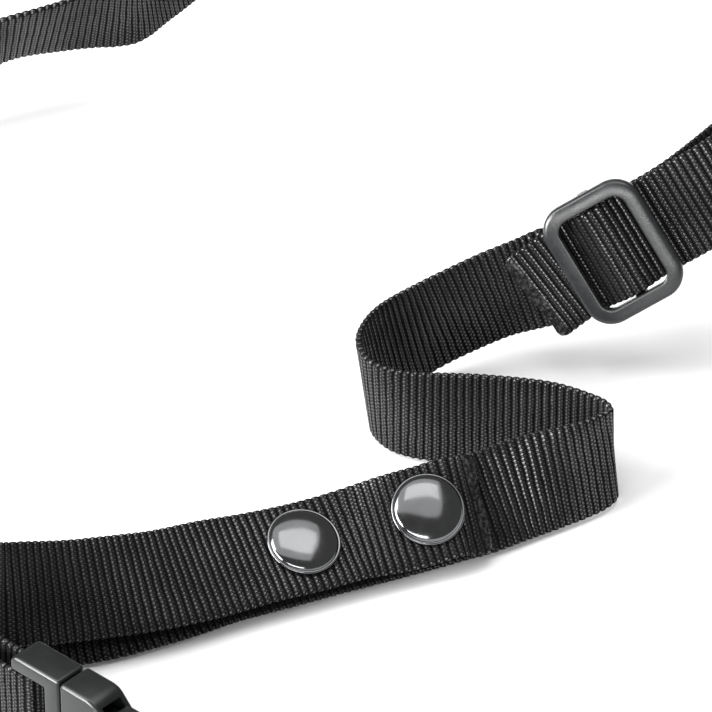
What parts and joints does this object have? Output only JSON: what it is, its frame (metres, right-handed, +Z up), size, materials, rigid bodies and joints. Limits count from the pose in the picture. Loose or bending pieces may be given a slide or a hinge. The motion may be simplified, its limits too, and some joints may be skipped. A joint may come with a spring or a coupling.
{
  "type": "binocular harness strap",
  "caption": "Webbing harness strap with a slide buckle and an eye at each lug end, press-stud folds and quick-release buckles either side of the neck webbing.",
  "frame": {"origin": "bottom centre of the bounding box of the strap as it lies, on the surface under it", "axes": "+Z up, +Y away from the viewer towards the left lug end, +X to the right, towards the right lug end"},
  "size_m": [0.292, 0.4102, 0.0518],
  "materials": {
    "webbing": "charcoal black ribbed nylon webbing",
    "triglide": "satin dark grey, fine grain",
    "snap_cap": "glossy black enamel",
    "snap_inner": "blackened steel",
    "buckle": "satin dark grey moulded plastic"
  },
  "bodies": {
    "neck_strap": {"neck_webbing": "webbing", "right_buckle_socket": "buckle", "left_buckle_socket": "buckle"},
    "right_end": {"right_lug_webbing": "webbing", "right_buckle_plug": "buckle", "right_inner_snap_stud": "snap_inner", "right_inner_snap_post": "snap_inner", "right_outer_snap_stud": "snap_inner", "right_outer_snap_post": "snap_inner"},
    "right_flap": {"right_snap_flap": "webbing", "right_inner_snap_cap": "snap_cap", "right_inner_snap_socket": "snap_inner", "right_outer_snap_cap": "snap_cap", "right_outer_snap_socket": "snap_inner"},
    "right_upper_arm": {"right_upper_prong": "buckle"},
    "right_lower_arm": {"right_lower_prong": "buckle"},
    "right_slide": {"right_triglide": "triglide"},
    "left_end": {"left_lug_webbing": "webbing", "left_buckle_plug": "buckle", "left_inner_snap_stud": "snap_inner", "left_inner_snap_post": "snap_inner", "left_outer_snap_stud": "snap_inner", "left_outer_snap_post": "snap_inner"},
    "left_flap": {"left_snap_flap": "webbing", "left_inner_snap_cap": "snap_cap", "left_inner_snap_socket": "snap_inner", "left_outer_snap_cap": "snap_cap", "left_outer_snap_socket": "snap_inner"},
    "left_upper_arm": {"left_upper_prong": "buckle"},
    "left_lower_arm": {"left_lower_prong": "buckle"},
    "left_slide": {"left_triglide": "triglide"}
  },
  "joints": [
    {"name": "right_buckle_release", "type": "slide", "parent": "neck_strap", "child": "right_end", "axis": [-0.7431, 0.6691, 0], "range_m": [0, 0.026]},
    {"name": "right_upper_prong_squeeze", "type": "hinge", "parent": "right_end", "child": "right_upper_arm", "pos_m": [0.00449, -0.13653, 0.02233], "axis": [0.6691, 0.7431, 0], "range_deg": [0, 9], "stiffness_Nm_per_rad": 0.2},
    {"name": "right_lower_prong_squeeze", "type": "hinge", "parent": "right_end", "child": "right_lower_arm", "pos_m": [0.00449, -0.13653, 0.00553], "axis": [-0.6691, -0.7431, 0], "range_deg": [0, 9], "stiffness_Nm_per_rad": 0.2},
    {"name": "right_flap_open", "type": "hinge", "parent": "right_end", "child": "right_flap", "pos_m": [0.01834, -0.08484, 0.01097], "axis": [0.2845, -0.7726, -0.5676], "range_deg": [0, 40]},
    {"name": "right_slide_rock", "type": "hinge", "parent": "right_end", "child": "right_slide", "pos_m": [0.10677, 0.00396, 0.02673], "axis": [-0.5162, 0.32, 0.7945], "range_deg": [-3, 3]},
    {"name": "left_buckle_release", "type": "slide", "parent": "neck_strap", "child": "left_end", "axis": [0, 1, 0], "range_m": [0, 0.026]},
    {"name": "left_upper_prong_squeeze", "type": "hinge", "parent": "left_end", "child": "left_upper_arm", "pos_m": [-0.14145, -0.01986, 0.02233], "axis": [1, 0, 0], "range_deg": [0, 9], "stiffness_Nm_per_rad": 0.2},
    {"name": "left_lower_prong_squeeze", "type": "hinge", "parent": "left_end", "child": "left_lower_arm", "pos_m": [-0.14145, -0.01986, 0.00553], "axis": [-1, 0, 0], "range_deg": [0, 9], "stiffness_Nm_per_rad": 0.2},
    {"name": "left_flap_open", "type": "hinge", "parent": "left_end", "child": "left_flap", "pos_m": [-0.11284, 0.05161, 0.01228], "axis": [0.1567, -0.3453, -0.9253], "range_deg": [0, 40]},
    {"name": "left_slide_rock", "type": "hinge", "parent": "left_end", "child": "left_slide", "pos_m": [0.05955, 0.16992, 0.02745], "axis": [-0.2726, -0.1106, 0.9557], "range_deg": [-3, 3]}
  ]
}
